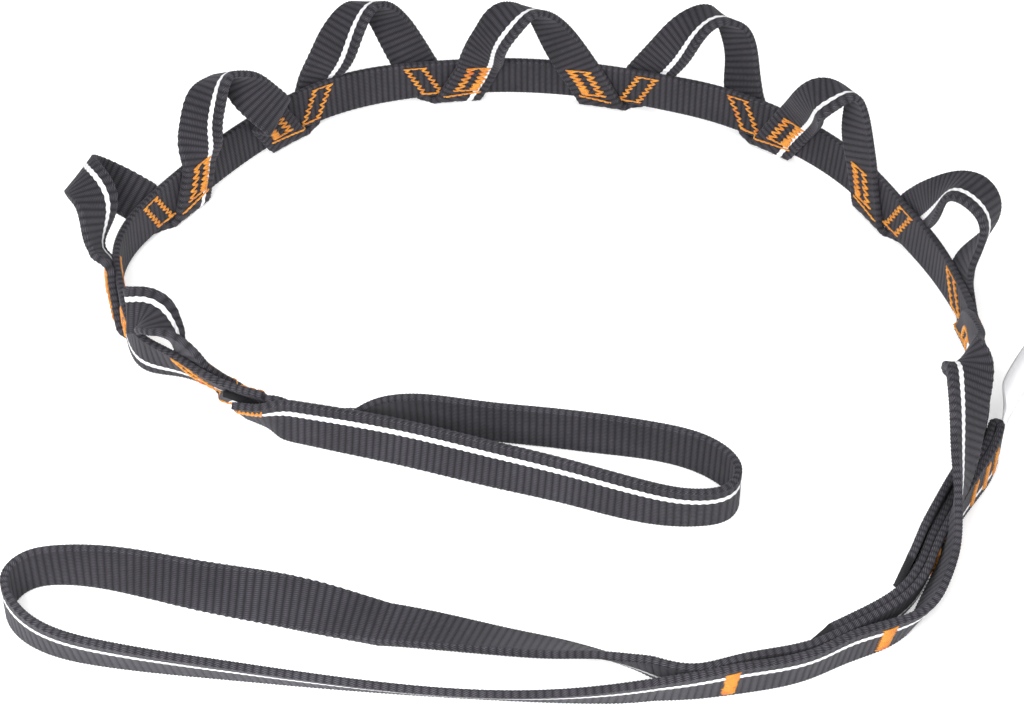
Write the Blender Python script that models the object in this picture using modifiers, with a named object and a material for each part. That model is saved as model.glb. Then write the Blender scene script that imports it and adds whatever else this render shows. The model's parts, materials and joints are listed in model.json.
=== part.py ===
"""Daisy chain: one long flat tape, sewn back on itself into a row of pocket loops
with an end loop at each end.  The chain lies on its edge, bent into an arch.

All drawing dimensions are millimetres and degrees; the plan is drawn with x to the
right and y away from the front.  Every strip is a sheet laid along a rule and given
the tape's thickness."""
import math

import bmesh
import bpy
import numpy as np

MM = 0.001

# ---- driving dimensions -------------------------------------------------------------
TAPE_W = 16.0            # width of the tape
TAPE_T = 2.4             # thickness of the tape
GAP = 0.3                # air between layers that are sewn together
OFFSET = TAPE_T + GAP    # middle surface of a leg from the middle surface of the backbone
LOWER_EDGE = TAPE_T + GAP + 0.1    # height of the backbone's lower edge: the folds pass under it
LEAN_LIFT = 2.0          # further lift where the backbone leans right over
LEG_ANGLE = math.radians(62)  # slope of a leg against the backbone
FOLD_RUN = 4.0           # travel along the backbone while the tape passes under it, each way
PITCH = 62.2             # distance from joint to joint along the backbone
FIRST_JOINT = 18.0       # first joint, from the start of the backbone
JOINTS = 9
HINGE_GAP = 1.2          # free tape between the sewn leg and the loop that swings
LOOP_TAPE = 66.0         # length of tape in the swinging part of a pocket loop

# plan of the backbone: x, y, lean of the tape's width (90 = upright)
BACKBONE = [(-79, -34, 61), (-87, -30, 60), (-95, -26, 61), (-112, -14, 70), (-125, -9, 87),
            (-133, 3, 90), (-138, 17, 90), (-141, 33, 92), (-136.5, 47, 92), (-126, 63.5, 88),
            (-115, 80, 84), (-103.5, 96, 84), (-91, 110.5, 86), (-76, 124, 85), (-59.5, 133.5, 86),
            (-41, 139, 91), (-21, 142, 95), (-2, 143, 96), (18, 141.5, 96), (37, 138, 95),
            (56, 132.5, 93), (74, 126, 89), (91.2, 116.2, 86), (107, 103.8, 85),
            (120.2, 89.2, 85), (130, 73.2, 86), (138.2, 56, 88), (146.2, 38, 89), (151.6, 20.6, 89),
            (155, 4.6, 88), (156.4, -13.6, 88), (154, -34, 88)]
# third layer of the tail, from the folded tab to the fork; the two inner layers follow it
TAIL_MIDDLE = [(154, -50, 76), (149, -67, 84), (142, -80, 86), (137, -90, 86), (131, -101, 84),
               (125, -111, 80), (119, -118.5, 76), (112, -124.5, 75), (98, -133.5, 76),
               (88, -139, 76), (65, -145, 76), (52, -147.6, 72), (42, -144.4, 68)]
# outer layer of the tail, from the fork to the last pocket loop
TAIL_OUTER = [(42, -152.2, -68), (54, -150.8, -74), (65, -148.6, -78), (89, -142.4, -78),
              (99, -136.8, -80), (114, -128, -74), (124, -122.5, -62), (130, -116.5, -56),
              (133.4, -111.5, -66), (135.4, -107, -76)]
# end loop A: front strand, round the free end, back strand, half twist into the backbone
END_LOOP_A = [(-76, -41, -96), (-60, -44.5, -103), (-36, -51, -109), (-6, -61, -108),
              (18, -69, -103), (40, -77, -98), (58, -80, -88), (68, -77, -88), (71, -70, -90),
              (66, -60.5, -88), (47, -51, -90), (27, -47, -87), (9, -44, -88), (-8, -41.5, -89),
              (-24, -38, -94), (-35, -35, -107), (-45, -32.5, -130), (-55, -30.5, -160),
              (-64, -29.5, -205), (-70, -30.6, -258), (-75.4, -32.2, -295)]
# end loop B: back strand, round the free end, front strand
END_LOOP_B = [(38, -142.6, 62), (28, -139, 51), (14, -135.2, 36), (0, -132, 27),
              (-25, -125.2, 10), (-50, -119.5, -12), (-70, -116.5, -42), (-95, -112, -64),
              (-117, -106.5, -76), (-137, -104, -88), (-148.5, -107, -92), (-152.5, -114, -92),
              (-150, -122.5, -90), (-141, -131.5, -82), (-120, -139, -73), (-87, -144.5, -65),
              (-55, -149, -58), (-23, -152.5, -53), (0, -154, -54), (20, -154.2, -60),
              (38, -152.8, -67)]
# pocket loops 1..7: lean of the loop over the backbone
LOOP_LEAN = {"inner": math.radians(3), "outer": math.radians(30)}
# first and last pocket loop: x, y, z of the middle, then azimuth and elevation of the width
LOOP_FIRST = [(-115.5, -11, 31.5, -48, 30), (-121, -6.5, 33.5, -80, 0), (-126.5, -2, 31, -80, -25)]
LOOP_LAST = [(147, -24, 33, 75, 16), (144, -39.5, 36, 41, 0), (144.5, -49.4, 29, 25, -22),
             (143, -60.3, 25.5, 31, -27), (141.8, -70, 24.5, 41, -33), (140.5, -81, 23, 42, -36),
             (138.8, -92, 19, 38, -46), (137.2, -100, 13.5, 25, -66)]
LOOP_LAST_END = (136.2, -103.6, 10.4, 14, -76)

SHIFT = (-6.89, 0.40, 0.09)   # from the drawing to the middle of the footprint

THREAD_T = 0.5           # thickness of a stitched pattern
# stitched boxes: width of a bar, half width, middle and half height on the tape
BOX_ON_LEG = (2.4, 4.2, 1.9, 5.5)
BOX_ON_BACKBONE = (1.4, 3.4, 0.1, 6.2)
LABEL = {"length": 34.0, "height": 14.0, "thick": 0.8}
# bar tacks through the inner layers: distance from the tab's end along the middle layer
TAB_TACKS = (12.0, 21.5, 30.0, 52.0, 60.5, 69.0)
# bar tacks on the outer layer, distance from the fork along the outer layer
FRONT_TACKS = (28.5, 73.5)
TACK_SIZE = (2.6, 11.5)


# ---- small geometry helpers ---------------------------------------------------------
def natural_spline(t, points):
    """Natural cubic spline through the points at the parameters t."""
    t = np.asarray(t, float)
    p = np.asarray(points, float)
    n = len(t)
    h = np.diff(t)
    a = np.eye(n)
    r = np.zeros_like(p)
    for i in range(1, n - 1):
        a[i, i - 1] = h[i - 1]
        a[i, i] = 2 * (h[i - 1] + h[i])
        a[i, i + 1] = h[i]
        r[i] = 6 * ((p[i + 1] - p[i]) / h[i] - (p[i] - p[i - 1]) / h[i - 1])
    m = np.linalg.solve(a, r)

    def value(x):
        x = np.atleast_1d(np.asarray(x, float))
        k = np.clip(np.searchsorted(t, x) - 1, 0, n - 2)
        u = (t[k + 1] - x)[:, None]
        v = (x - t[k])[:, None]
        g = h[k][:, None]
        return (m[k] * u ** 3 / (6 * g) + m[k + 1] * v ** 3 / (6 * g)
                + (p[k] / g - m[k] * g / 6) * u + (p[k + 1] / g - m[k + 1] * g / 6) * v)
    return value


class Route:
    """A tape's middle line in plan with the lean of its width, by length."""

    def __init__(self, control):
        c = np.array(control, float)
        t = np.r_[0, np.cumsum(np.hypot(*np.diff(c[:, :2], axis=0).T))]
        f = natural_spline(t, c)
        u = np.linspace(0, t[-1], 1501)
        self.q = f(u)
        self.s = np.r_[0, np.cumsum(np.hypot(*np.diff(self.q[:, :2], axis=0).T))]
        self.length = float(self.s[-1])

    def at(self, x):
        x = np.atleast_1d(np.asarray(x, float))
        inside = np.clip(x, 0, self.length)
        q = np.stack([np.interp(inside, self.s, self.q[:, k]) for k in range(3)], 1)
        lo = np.clip(x - 0.6, 0, self.length)
        hi = np.clip(x + 0.6, 0, self.length)
        lo = np.minimum(lo, self.length - 1.2)
        hi = np.maximum(hi, 1.2)
        d = np.stack([np.interp(hi, self.s, self.q[:, k]) - np.interp(lo, self.s, self.q[:, k])
                      for k in range(2)], 1)
        d /= np.linalg.norm(d, axis=1)[:, None]
        p = q[:, :2] + d * (x - inside)[:, None]
        zero = np.zeros((len(x), 1))
        return p, np.c_[d, zero], np.c_[-d[:, 1], d[:, 0], zero], np.radians(q[:, 2])

    def frame(self, x, lift=0.0, across=0.0, depth=0.0):
        """Point on the tape: across its width and out of its outer face."""
        p, d, nrm, th = self.at(x)
        z = np.array([0, 0, 1.0])
        u = np.cos(th)[:, None] * nrm + np.sin(th)[:, None] * z
        n = np.sin(th)[:, None] * nrm - np.cos(th)[:, None] * z
        height = TAPE_W / 2 * np.abs(np.sin(th)) + TAPE_T / 2 * np.abs(np.cos(th)) + lift
        c = np.c_[p, height]
        return (c + np.atleast_1d(across)[:, None] * u + np.atleast_1d(depth)[:, None] * n), d, u, n


def on_backbone(s, v, h):
    """Point beside the backbone: v up its width from the middle, h out of its outer face."""
    p, d, nrm, th = spine.at(s)
    z = np.array([0, 0, 1.0])
    u = np.cos(th)[:, None] * nrm + np.sin(th)[:, None] * z
    n = np.sin(th)[:, None] * nrm - np.cos(th)[:, None] * z
    c = np.c_[p, LOWER_EDGE + TAPE_W / 2 * np.abs(np.sin(th)) + LEAN_LIFT * np.cos(th) ** 2]
    return c + np.atleast_1d(v)[:, None] * u + np.atleast_1d(h)[:, None] * n


def layer_beside(route, layers, start, stop, count):
    """Plan of a layer that lies inside another one, a number of layers further in."""
    s = np.linspace(start, stop, count)
    p, d, nrm, th = route.at(s)
    q = p - nrm[:, :2] * (layers * OFFSET / np.sin(np.abs(th)))[:, None]
    return [(float(a[0]), float(a[1]), math.degrees(float(b))) for a, b in zip(q, th)]


tail_middle = Route(TAIL_MIDDLE)
tail_outer = Route(TAIL_OUTER)
end_a = Route(END_LOOP_A)
end_b = Route(END_LOOP_B)
# the backbone runs on into the tail as the innermost layer
spine = Route(BACKBONE + layer_beside(tail_middle, 2, 9.0, 84.0, 11))


def joint_at(k):
    return FIRST_JOINT + PITCH * k


def leg_side(k):
    """Pocket loops with an even number have their legs on the inner face."""
    return 1 if k % 2 else -1


def fold_profile():
    """Half of the fold: depth and width coordinate by length, from the bottom upwards."""
    a = np.linspace(0, math.pi / 2, 4)
    radius = GAP + TAPE_T / 2
    h = np.r_[0, TAPE_T / 2 + radius * np.sin(a), OFFSET, OFFSET, OFFSET]
    v = np.r_[-TAPE_W / 2 - radius, -TAPE_W / 2 - radius * np.cos(a),
              np.linspace(-TAPE_W / 2, TAPE_W / 2, 4)[1:]]
    s = np.r_[0, np.cumsum(np.hypot(np.diff(h), np.diff(v)))]
    return s, h, v, float(s[4])


FOLD_S, FOLD_H, FOLD_V, FOLD_TURN = fold_profile()
LEG_LENGTH = float(FOLD_S[-1])


def leg_run(length):
    """Travel along the backbone at a length up the leg."""
    length = np.asarray(length, float)
    return FOLD_RUN * np.clip(length / FOLD_TURN, 0, 1) + length / math.tan(LEG_ANGLE)


def fold_point(k, t, across):
    """Sewn fold k: t from -1 (top of the incoming leg) to 1 (top of the outgoing leg)."""
    length = np.abs(t) * LEG_LENGTH
    side = np.where(t < 0, leg_side(k - 1), leg_side(k))
    h = side * np.interp(length, FOLD_S, FOLD_H)
    v = np.interp(length, FOLD_S, FOLD_V)
    s = joint_at(k) + np.sign(t) * leg_run(length) - across / math.sin(LEG_ANGLE)
    return on_backbone(s, v, h)


def leg_plane(k, sign, rise, across=0.0):
    """Middle of leg k's tape at a height above the backbone's upper edge, and its width."""
    side = leg_side(k if sign > 0 else k - 1)
    s = joint_at(k) + sign * (leg_run(LEG_LENGTH) + rise / math.tan(LEG_ANGLE))
    p = on_backbone(s, TAPE_W / 2 + rise, side * OFFSET)[0]
    _, d, nrm, th = spine.at(s)
    u = math.cos(th[0]) * nrm[0] + math.sin(th[0]) * np.array([0, 0, 1.0])
    w = -math.sin(LEG_ANGLE) * d[0] + sign * math.cos(LEG_ANGLE) * u
    return np.r_[p, w]


def teardrop(length, n=80):
    """Side view of a band that leaves its seam upright and comes back to it upright."""
    u = np.linspace(0, 1, n + 1)
    lo, hi = 0.0, math.radians(170)
    for _ in range(50):
        mid = (lo + hi) / 2
        psi = math.pi * u - mid * np.sin(2 * math.pi * u)
        m = np.sin(psi[:n // 2 + 1])
        if (m[1:] + m[:-1]).sum() > 0:
            lo = mid
        else:
            hi = mid
    psi = math.pi * u - lo * np.sin(2 * math.pi * u)
    y = np.r_[0, np.cumsum((np.sin(psi)[1:] + np.sin(psi)[:-1]) / 2)] * length / n
    z = np.r_[0, np.cumsum((np.cos(psi)[1:] + np.cos(psi)[:-1]) / 2)] * length / n
    return u * length, y, z


DROP_Q, DROP_Y, DROP_Z = teardrop(LOOP_TAPE)


def loop_point(k, t, across):
    """Swinging part of pocket loop k (1..7), t from 0 to 1 along the tape."""
    side = leg_side(k)
    lean = LOOP_LEAN["outer" if side > 0 else "inner"]
    q = t * LOOP_TAPE
    y = np.interp(q, DROP_Q, DROP_Y)
    z = np.interp(q, DROP_Q, DROP_Z)
    yy = y * math.cos(lean) + z * math.sin(lean)
    zz = z * math.cos(lean) - y * math.sin(lean)
    rise = HINGE_GAP / math.tan(LEG_ANGLE)
    first = joint_at(k) + float(leg_run(LEG_LENGTH)) + rise
    last = joint_at(k + 1) - float(leg_run(LEG_LENGTH)) - rise
    s = first + (last - first) * t - across / math.sin(LEG_ANGLE)
    return on_backbone(s, TAPE_W / 2 + HINGE_GAP + zz, side * OFFSET + yy)


def unit_width(az, el):
    a, e = math.radians(az), math.radians(el)
    return [math.cos(e) * math.cos(a), math.cos(e) * math.sin(a), math.sin(e)]


class FreeLoop:
    """Tape through stations given by a middle point and the direction of the width."""

    def __init__(self, stations, skew_start, skew_end):
        c = np.array(stations, float)
        t = np.r_[0, np.cumsum(np.linalg.norm(np.diff(c[:, :3], axis=0), axis=1))]
        self.f = natural_spline(t, c)
        self.total = float(t[-1])
        self.skew = (skew_start, skew_end)

    def point(self, t, across):
        """t from 0 to 1; the end lines run along the seams where a skew is given."""
        margin = [6.0 / math.sin(LEG_ANGLE) if k else 0.0 for k in self.skew]
        lift = HINGE_GAP / math.sin(LEG_ANGLE)
        lo = margin[0] + (lift if self.skew[0] else 0.0)
        hi = self.total - margin[1] - (lift if self.skew[1] else 0.0)
        s = lo + (hi - lo) * t
        fade = np.clip(1 - (s - lo) / 18.0, 0, 1) * self.skew[0] \
            + np.clip(1 - (hi - s) / 18.0, 0, 1) * self.skew[1]
        s = s - across / math.tan(LEG_ANGLE) * fade
        q = self.f(s)
        a, b = self.f(s + 0.4), self.f(s - 0.4)
        tangent = (a - b)[:, :3]
        tangent /= np.linalg.norm(tangent, axis=1)[:, None]
        w = q[:, 3:]
        w = w - (w * tangent).sum(1)[:, None] * tangent
        w /= np.linalg.norm(w, axis=1)[:, None]
        return q[:, :3] + np.atleast_1d(across)[:, None] * w


def stations(rows):
    return [np.r_[r[0], r[1], r[2], unit_width(r[3], r[4])] for r in rows]


loop_first = FreeLoop([leg_plane(0, 1, -6.0), leg_plane(0, 1, 6.0)] + stations(LOOP_FIRST)
                      + [leg_plane(1, -1, 6.0), leg_plane(1, -1, -6.0)], 1, 1)
loop_last = FreeLoop([leg_plane(8, 1, -6.0), leg_plane(8, 1, 6.0)] + stations(LOOP_LAST)
                     + stations([LOOP_LAST_END]), 1, 0)


# ---- scene helpers ------------------------------------------------------------------
for old in list(bpy.data.objects):
    bpy.data.objects.remove(old, do_unlink=True)

chain = bpy.data.collections.new("daisy_chain")
bpy.context.scene.collection.children.link(chain)


def material(name, color, roughness):
    mat = bpy.data.materials.new(name)
    mat.use_nodes = True
    shader = mat.node_tree.nodes["Principled BSDF"]
    shader.inputs["Base Color"].default_value = (color[0], color[1], color[2], 1.0)
    shader.inputs["Roughness"].default_value = roughness
    shader.inputs["Metallic"].default_value = 0.0
    mat.diffuse_color = (color[0], color[1], color[2], 1.0)
    return mat


GREY = (0.055, 0.052, 0.060)
ORANGE = (0.80, 0.28, 0.02)
WHITE = (0.86, 0.86, 0.85)


def finish(name, mesh, color, roughness, thickness):
    obj = bpy.data.objects.new(name, mesh)
    chain.objects.link(obj)
    mesh.materials.append(material(name + "_mat", color, roughness))
    solid = obj.modifiers.new("thickness", "SOLIDIFY")
    solid.thickness = thickness * MM
    solid.offset = 0.0
    solid.use_rim = True
    return obj


def laid_sheet(name, rule, along, across, width, color=GREY, roughness=0.85,
               thickness=TAPE_T, spacing=None):
    """Flat grid laid along a rule: rule(t, b) with t from 0 to 1 and b across the width."""
    bm = bmesh.new()
    bmesh.ops.create_grid(bm, x_segments=along, y_segments=across, size=0.5)
    verts = list(bm.verts)
    t = np.array([v.co.x + 0.5 for v in verts])
    b = np.array([v.co.y for v in verts])
    if spacing is not None:
        t = spacing(t)
    pts = rule(t, b * width)
    for v, p in zip(verts, pts):
        v.co = [(p[k] + SHIFT[k]) * MM for k in range(3)]
    bmesh.ops.recalc_face_normals(bm, faces=bm.faces[:])
    mesh = bpy.data.meshes.new(name)
    bm.to_mesh(mesh)
    bm.free()
    return finish(name, mesh, color, roughness, thickness)


def stitched_box(name, rule, bar, half_width, half_height):
    """Stitched box: two bars joined by two lines, as one flat frame."""
    bm = bmesh.new()
    bmesh.ops.create_grid(bm, x_segments=3, y_segments=3, size=1.5)
    middle = [f for f in bm.faces if f.calc_center_median().length < 0.1]
    bmesh.ops.delete(bm, geom=middle, context="FACES")
    inner_a = half_width - bar
    inner_b = half_height - 1.1
    verts = list(bm.verts)
    a = np.array([math.copysign(half_width if abs(v.co.x) > 1 else inner_a, v.co.x) for v in verts])
    b = np.array([math.copysign(half_height if abs(v.co.y) > 1 else inner_b, v.co.y) for v in verts])
    pts = rule(a, b)
    for v, p in zip(verts, pts):
        v.co = [(p[k] + SHIFT[k]) * MM for k in range(3)]
    bmesh.ops.recalc_face_normals(bm, faces=bm.faces[:])
    mesh = bpy.data.meshes.new(name)
    bm.to_mesh(mesh)
    bm.free()
    return finish(name, mesh, ORANGE, 0.6, THREAD_T)


# ---- webbing ------------------------------------------------------------------------
laid_sheet("backbone_webbing",
           lambda t, b: on_backbone(t * (spine.length - 2.0), b, 0.0), 96, 1, TAPE_W)


def fold_spacing(t):
    """Sections of a fold: few on the flat legs, more round the bottom."""
    marks = np.r_[-FOLD_S[::-1], FOLD_S[1:]] / LEG_LENGTH
    return np.interp(t, np.linspace(0, 1, len(marks)), (marks + 1) / 2)


for k in range(JOINTS):
    laid_sheet("sewn_fold_%d" % k, lambda t, b, k=k: fold_point(k, 2 * t - 1, b),
               2 * (len(FOLD_S) - 1), 4, TAPE_W, spacing=fold_spacing)

laid_sheet("pocket_loop_0", loop_first.point, 28, 2, TAPE_W)
for k in range(1, JOINTS - 1):
    laid_sheet("pocket_loop_%d" % k, lambda t, b, k=k: loop_point(k, t, b), 26, 2, TAPE_W)
laid_sheet("pocket_loop_8", loop_last.point, 36, 2, TAPE_W)

laid_sheet("end_loop_a", lambda t, b: end_a.frame(t * end_a.length, across=b)[0], 84, 1, TAPE_W)
laid_sheet("end_loop_b", lambda t, b: end_b.frame(t * end_b.length, across=b)[0], 84, 1, TAPE_W)
laid_sheet("tail_outer_layer",
           lambda t, b: tail_outer.frame(t * tail_outer.length, across=b)[0], 36, 1, TAPE_W)

# the two middle layers of the tail are one piece of tape, folded at the tab
inner = layer_beside(tail_middle, 1.0, 4.0, 125.0, 26)[::-1]
outer = layer_beside(tail_middle, 0.0, 4.0, tail_middle.length - 2.0, 32)
e_in, e_out = np.array(inner[-1]), np.array(outer[0])
_mid = (e_in + e_out) / 2
_dir = tail_middle.at(4.0)[1][0][:2]
_half = (e_out - e_in)[:2] / 2
turn = []
for i in range(1, 6):
    a = math.pi * i / 6
    c = _mid[:2] - _half * math.cos(a) - _dir * np.linalg.norm(_half) * math.sin(a)
    turn.append((float(c[0]), float(c[1]), float(_mid[2])))
tab_route = Route(inner + turn + outer)


def tab_point(t, across):
    """The lean keeps its sense on both layers, so the width is taken upwards on each."""
    p, d, nrm, th = tab_route.at(t * tab_route.length)
    lean_to = tail_middle_side(p)
    z = np.array([0, 0, 1.0])
    u = np.cos(th)[:, None] * lean_to + np.sin(th)[:, None] * z
    height = TAPE_W / 2 * np.sin(th) + TAPE_T / 2 * np.cos(th)
    return np.c_[p, height] + across[:, None] * u


def tail_middle_side(p):
    """Outward direction in plan of the middle layer at the nearest place."""
    d2 = ((p[:, None, :] - tail_middle.q[None, :, :2]) ** 2).sum(2)
    s = tail_middle.s[d2.argmin(1)]
    return tail_middle.at(s)[2]


laid_sheet("folded_tab", tab_point, 110, 1, TAPE_W)


# ---- stitching ----------------------------------------------------------------------
def box_rule(k, sign):
    """Stitched box over one leg of joint k, on the face that looks into the arch."""
    on_leg = leg_side(k if sign > 0 else k - 1) < 0
    face = (OFFSET if on_leg else 0.0) + TAPE_T / 2 + GAP + THREAD_T / 2
    bar, half_width, middle, half_height = BOX_ON_LEG if on_leg else BOX_ON_BACKBONE

    def rule(a, b):
        b = b + middle
        length = b + LEG_LENGTH - TAPE_W / 2
        s = joint_at(k) + sign * leg_run(length) - a / math.sin(LEG_ANGLE)
        return on_backbone(s, b, -face * np.ones_like(a))
    return rule, bar, half_width, half_height


for k in range(JOINTS):
    for sign, word in ((-1, "in"), (1, "out")):
        stitched_box("box_stitch_%d_%s" % (k, word), *box_rule(k, sign))


def tack_on_middle(s0):
    def rule(t, b):
        s = s0 + (t - 0.5) * TACK_SIZE[0]
        return tail_middle.frame(s, across=b, depth=TAPE_T / 2 + GAP + THREAD_T / 2)[0]
    return rule


def tack_on_outer(s0):
    def rule(t, b):
        s = s0 + (t - 0.5) * TACK_SIZE[0]
        return tail_outer.frame(s, across=b, depth=TAPE_T / 2 + GAP + THREAD_T / 2)[0]
    return rule


for i, s0 in enumerate(TAB_TACKS):
    laid_sheet("tab_bar_tack_%d" % (i + 1), tack_on_middle(s0), 2, 1, TACK_SIZE[1], ORANGE, 0.6, THREAD_T)
for i, s0 in enumerate(FRONT_TACKS):
    laid_sheet("front_bar_tack_%d" % (i + 1), tack_on_outer(s0), 2, 1, TACK_SIZE[1], ORANGE, 0.6, THREAD_T)


# ---- label --------------------------------------------------------------------------
def label_point(t, across):
    """A short white flap that stands out of the tab's end."""
    start = np.array([158.2, -45.2])
    a = math.radians(66)
    reach = t * LABEL["length"]
    bend = 3.0 * np.sin(math.pi * t)
    x = start[0] + reach * math.cos(a) - bend * math.sin(a)
    y = start[1] + reach * math.sin(a) + bend * math.cos(a)
    return np.c_[x, y, 1.2 + LABEL["height"] / 2 + across]


laid_sheet("label", label_point, 10, 1, LABEL["height"], WHITE, 0.7, LABEL["thick"])
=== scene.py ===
"""Looks of the daisy chain: ribbed tape with its tracer stripe, sewn joints, bar tacks and label."""
import math

import json

import bpy
import numpy as np
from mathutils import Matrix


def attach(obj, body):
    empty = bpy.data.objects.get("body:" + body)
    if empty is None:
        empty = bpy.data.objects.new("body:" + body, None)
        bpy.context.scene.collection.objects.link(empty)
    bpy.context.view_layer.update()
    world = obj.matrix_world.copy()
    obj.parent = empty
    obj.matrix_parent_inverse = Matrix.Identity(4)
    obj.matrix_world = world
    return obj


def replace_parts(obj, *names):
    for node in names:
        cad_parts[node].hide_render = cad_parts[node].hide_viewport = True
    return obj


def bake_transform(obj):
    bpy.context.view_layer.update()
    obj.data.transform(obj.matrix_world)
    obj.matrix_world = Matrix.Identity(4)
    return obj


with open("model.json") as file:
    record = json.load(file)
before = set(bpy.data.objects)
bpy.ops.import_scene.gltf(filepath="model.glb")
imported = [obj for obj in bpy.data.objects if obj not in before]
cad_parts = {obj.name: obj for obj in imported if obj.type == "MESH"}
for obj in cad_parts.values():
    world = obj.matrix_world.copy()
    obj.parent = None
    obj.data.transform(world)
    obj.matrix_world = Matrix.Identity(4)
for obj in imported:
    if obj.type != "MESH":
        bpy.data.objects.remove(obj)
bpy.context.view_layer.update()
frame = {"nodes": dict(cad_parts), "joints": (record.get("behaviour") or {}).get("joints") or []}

MM = 0.001

# ---- driving dimensions, the same as the frame's, in millimetres ---------------------
TAPE_W = 16.0
TAPE_T = 2.4
GAP = 0.3
OFFSET = TAPE_T + GAP
LOWER_EDGE = TAPE_T + GAP + 0.1
LEAN_LIFT = 2.0          # further lift where the backbone leans right over
LEG_ANGLE = math.radians(62)
FOLD_RUN = 4.0
PITCH = 62.2
FIRST_JOINT = 18.0
FIRST_SHORTER = 3.8      # the first stretch between joints is this much shorter than the rest
JOINTS = 9
SHIFT = np.array([-6.89, 0.40, 0.09])

# plan of the backbone: x, y, lean of the tape's width (90 = upright)
BACKBONE = [(-79, -34, 56), (-87, -30.5, 54), (-95, -27, 57), (-111, -17, 69), (-122.5, -11.5, 87),
            (-129, 0.5, 90), (-133.2, 16, 90), (-136.6, 33, 92), (-134, 48, 92), (-126, 63.5, 88),
            (-115, 80, 84), (-103.5, 96, 84), (-91, 110.5, 86), (-76, 124, 85), (-59.5, 133.5, 86),
            (-41, 139, 91), (-21, 142, 95), (-2, 143, 96), (18, 141.5, 96), (37, 138, 95),
            (56, 132.5, 93), (74, 126, 89), (91.2, 116.2, 86), (107, 103.8, 85),
            (120.2, 89.2, 85), (130, 73.2, 86), (138.2, 56, 88), (146.2, 38, 90), (151.6, 20.6, 94),
            (155, 4.6, 99), (156.4, -13.6, 101), (154, -34, 94)]
TAIL_MIDDLE = [(157.5, -47, 90), (153, -59.5, 90), (147, -69.3, 88), (140.7, -79.3, 86),
               (134.7, -90.3, 86), (129, -101, 84), (124.2, -110.8, 80), (118.6, -118.6, 76), (112, -124.5, 75), (98, -133.5, 76),
               (88, -139, 76), (65, -145, 76), (52, -147.6, 72), (42, -144.4, 68)]
TAIL_OUTER = [(42, -152.2, -68), (54, -150.8, -74), (65, -148.6, -78), (89, -142.4, -78),
              (99, -136.8, -80), (114, -128, -74), (124, -122.5, -62), (130, -116.5, -56),
              (133.4, -111.5, -66), (135.4, -107, -76)]
END_LOOP_A = [(-89, -35.8, -55), (-84.5, -37.6, -60), (-79.5, -39.4, -70), (-74.5, -40.8, -92), (-69, -42.2, -99), (-60, -44.5, -103), (-36, -51, -109), (-6, -61, -108),
              (18, -69, -103), (40, -77, -98), (58, -80, -88), (68, -77, -88), (71, -70, -90),
              (66, -60.5, -88), (47, -51, -90), (27, -47, -87), (9, -44, -88), (-8, -41.5, -89),
              (-24, -38, -94), (-35, -35.5, -107), (-45, -35, -122), (-54, -36, -146),
              (-61, -37, -182), (-66, -37, -228), (-71, -36, -270), (-79, -34, -299)]
END_LOOP_B = [(38, -142.6, 62), (28, -139, 51), (14, -135.2, 36), (0, -132, 27),
              (-25, -125.2, 10), (-50, -119.5, -12), (-70, -116.5, -42), (-95, -112, -64),
              (-117, -106.5, -76), (-137, -104, -88), (-148.5, -107, -92), (-152.5, -114, -92),
              (-150, -122.5, -90), (-141, -131.5, -82), (-120, -139, -73), (-87, -144.5, -65),
              (-55, -149, -58), (-23, -152.5, -53), (0, -154, -54), (20, -154.2, -60),
              (38, -152.8, -67)]
# free part of each pocket loop: x, y, z of the tape's middle, azimuth and elevation of its width
LOOPS = {
    0: [(-114.5, -13.0, 22.5, -92, 6), (-118.5, -8.5, 24.4, -99, -22), (-123.5, -5.0, 23.5, -96, -46), (-128.0, -3.0, 21.5, -86, -44)],
    1: [(-141.7, 27.3, 19.2, -80, 23), (-141.2, 35.1, 32.9, -132, 17), (-148.3, 49.3, 36.5, -153, -36), (-144.1, 62.5, 23.8, -121, -42)],
    2: [(-111.4, 83.9, 28.5, -195, 4), (-109.3, 89.6, 38.6, -200, -6), (-102.5, 99.6, 43.0, -240, -35), (-92.8, 99.6, 33.2, -157, -33), (-84.2, 101.6, 21.5, -118, -34)],
    3: [(-69.5, 130.5, 24.0, -166, 18), (-65.0, 131.0, 33.0, -195, 9), (-53.8, 143.6, 43.0, -222, -24), (-44.9, 145.5, 31.6, -193, -31)],
    4: [(-9.0, 135.8, 29.3, -224, 21), (-4.0, 134.3, 40.2, -228, 20), (5.8, 140.0, 42.9, -243, -21), (16.1, 140.3, 31.9, -210, -34)],
    5: [(58.7, 133.0, 28.6, 150, 26), (64.3, 132.4, 37.9, 124, 12), (75.5, 134.7, 44.2, 104, -13), (82.9, 134.3, 37.0, 131, -29), (85.6, 129.0, 27.4, 136, -28)],
    6: [(106.0, 96.5, 28.5, 133, 20), (107.0, 91.5, 35.5, 118, 15), (110.1, 87.1, 42.2, 100, 17), (119.7, 88.5, 43.7, 93, -27), (122.7, 83.5, 31.9, 122, -23)],
    7: [(144.8, 46.6, 27.5, 98, 28), (147.8, 40.6, 36.5, 72, 20), (153.4, 34.2, 44.4, 40, 3), (160.7, 27.4, 40.2, 56, -9), (159.8, 24.2, 29.1, 70, -15)],
}
LOOP_LAST = [(148.3, -33.5, 29.0, 62, 34), (142.4, -46.0, 39.6, 34, 16), (142.6, -51.9, 41.6, 12, -13),
             (142.0, -57.6, 40.5, 10, -23.3),
             (141.3, -63.0, 38.3, 16.8, -31.1), (139.4, -77.7, 27.7, 39.9, -43.4),
             (138.5, -82.3, 23.9, 52, -50), (137.2, -87.1, 20.5, 68, -56), (135.6, -92.2, 17.5, 88, -62),
             (132.4, -105.2, 12.7, 120, -67), (127.3, -116.0, 10.0, 134, -64), (124.8, -120.8, 9.1, 136, -65),
             (121.2, -125.4, 8.2, 130, -68), (116.8, -128.7, 7.9, 121.8, -72.7)]

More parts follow.
